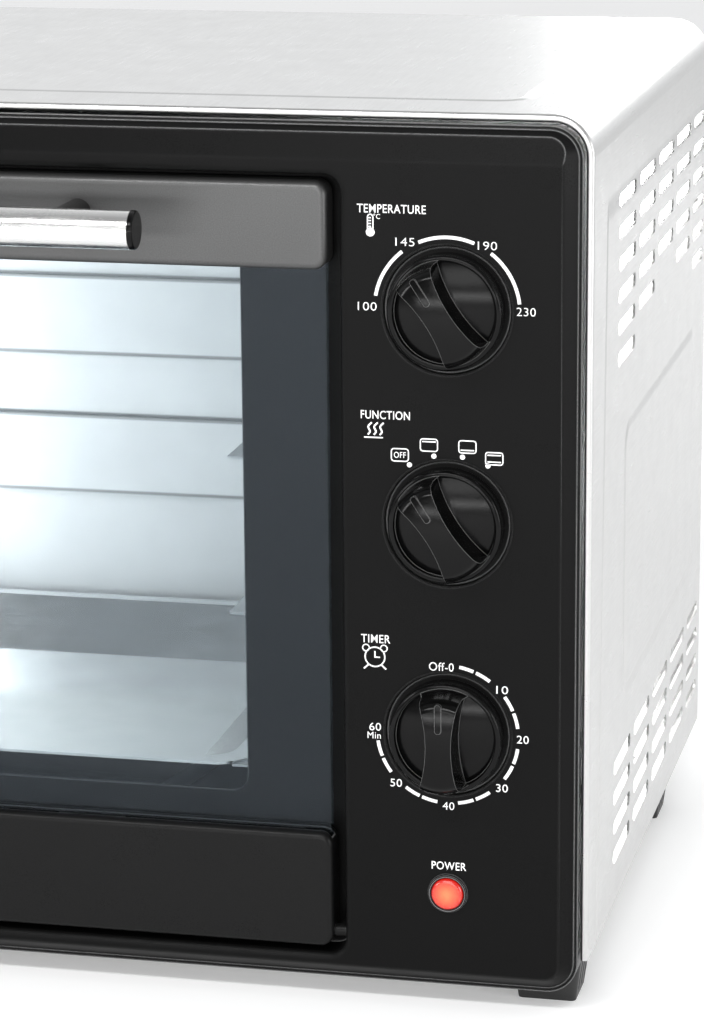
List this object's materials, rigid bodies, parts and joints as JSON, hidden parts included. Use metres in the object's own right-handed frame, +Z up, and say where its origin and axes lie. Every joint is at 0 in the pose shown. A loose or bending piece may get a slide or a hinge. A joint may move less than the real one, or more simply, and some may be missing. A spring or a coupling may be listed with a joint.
{
  "type": "toaster oven",
  "caption": "Countertop toaster oven with a drop-down glass door, bar handle, right-hand control panel with rotary dials, slotted steel cover and plastic feet.",
  "frame": {"origin": "middle of the bounding box's footprint, on the surface that the feet stand on", "axes": "+Z up, +Y from the door to the back, +X towards the control panel"},
  "size_m": [0.5, 0.3588, 0.3372],
  "materials": {
    "stainless": "brushed",
    "plated_sheet": "satin plated steel sheet",
    "tray_steel": "bright tinned sheet",
    "black_frame": "satin",
    "dark_rail": "satin",
    "glass": "clear, faintly tinted",
    "black_plastic": "gloss",
    "foot_plastic": "matte",
    "fastener_steel": "zinc plated",
    "heater_tube": "oxidised",
    "ceramic": "unglazed ceramic",
    "switch_body": "moulded phenolic",
    "red_lens": "translucent gloss"
  },
  "bodies": {
    "oven": {"outer_cover": "stainless", "rear_panel": "plated_sheet", "rear_screws": "fastener_steel", "base_plate": "plated_sheet", "foot_front_left": "foot_plastic", "foot_front_right": "foot_plastic", "foot_rear_left": "foot_plastic", "foot_rear_right": "foot_plastic", "foot_screws": "fastener_steel", "front_frame": "black_frame", "hinge_bracket_left": "plated_sheet", "hinge_bracket_right": "plated_sheet", "door_spring": "fastener_steel", "cavity_side_left": "plated_sheet", "cavity_side_right": "plated_sheet", "cavity_floor_plate": "plated_sheet", "cavity_roof": "plated_sheet", "cavity_back_wall": "plated_sheet", "shelf_rails_left": "plated_sheet", "shelf_rails_right": "plated_sheet", "heater_lower_front": "heater_tube", "heater_lower_rear": "heater_tube", "heater_upper_front": "heater_tube", "heater_upper_rear": "heater_tube", "heater_insulators": "ceramic", "baking_tray": "tray_steel", "thermostat": "switch_body", "function_switch": "switch_body", "timer_clockwork": "switch_body", "timer_bell": "fastener_steel", "control_screws": "fastener_steel", "lamp_lens": "red_lens", "lamp_holder": "foot_plastic", "cord_gland": "foot_plastic", "terminal_block": "ceramic"},
    "door": {"door_upper_rail": "dark_rail", "door_lower_rail": "black_frame", "door_glass": "glass", "glass_clips": "fastener_steel", "handle_bar": "stainless", "handle_cap_left": "black_plastic", "handle_cap_right": "black_plastic", "handle_post_left": "black_plastic", "handle_post_right": "black_plastic", "handle_screws": "fastener_steel", "hinge_pin_left": "fastener_steel", "hinge_pin_right": "fastener_steel"},
    "temperature_dial": {"temperature_knob": "black_plastic", "temperature_shaft": "fastener_steel"},
    "function_dial": {"function_knob": "black_plastic", "function_shaft": "fastener_steel"},
    "timer_dial": {"timer_knob": "black_plastic", "timer_shaft": "fastener_steel"}
  },
  "joints": [
    {"name": "door_hinge", "type": "hinge", "parent": "oven", "child": "door", "pos_m": [-0.0366, -0.13235, 0.028], "axis": [1, 0, 0], "range_deg": [0, 84], "stiffness_Nm_per_rad": 0.8, "springref_deg": -20.05},
    {"name": "temperature_turn", "type": "hinge", "parent": "oven", "child": "temperature_dial", "pos_m": [0.1983, -0.13735, 0.2672], "axis": [0, 1, 0], "range_deg": [-57, 123]},
    {"name": "function_turn", "type": "hinge", "parent": "oven", "child": "function_dial", "pos_m": [0.1983, -0.13735, 0.1888], "axis": [0, 1, 0], "range_deg": [0, 66]},
    {"name": "timer_turn", "type": "hinge", "parent": "oven", "child": "timer_dial", "pos_m": [0.1983, -0.13735, 0.1091], "axis": [0, 1, 0], "range_deg": [0, 270], "stiffness_Nm_per_rad": 0.01}
  ]
}
